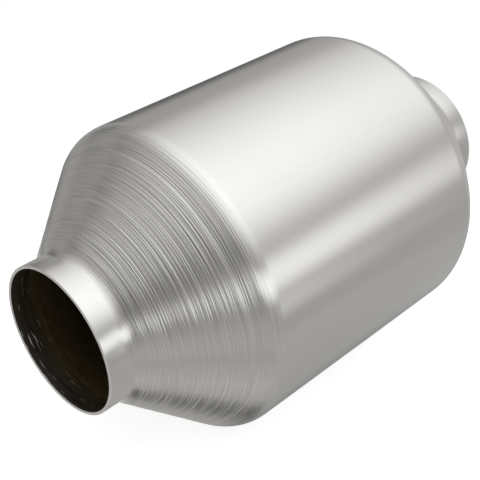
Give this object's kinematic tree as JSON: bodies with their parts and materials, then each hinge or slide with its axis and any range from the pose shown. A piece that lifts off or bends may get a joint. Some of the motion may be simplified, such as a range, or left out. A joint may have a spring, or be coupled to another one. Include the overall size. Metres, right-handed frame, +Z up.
{
  "type": "catalytic converter",
  "caption": "Spun steel canister with a cone and a neck at each end, round a ceramic honeycomb that a fibre mat holds.",
  "frame": {"origin": "middle of the converter, on the axis of the gas flow", "axes": "+X along the gas flow, out of the outlet neck; +Z up"},
  "size_m": [0.2132, 0.129, 0.1289],
  "materials": {
    "spun_steel": "satin",
    "coated_ceramic": "matte",
    "fibre_mat": "matte",
    "knitted_wire": "satin"
  },
  "bodies": {
    "root": {"shell": "spun_steel", "ceramic_honeycomb": "coated_ceramic", "support_mat": "fibre_mat", "inlet_seal": "knitted_wire", "outlet_seal": "knitted_wire"}
  },
  "joints": []
}
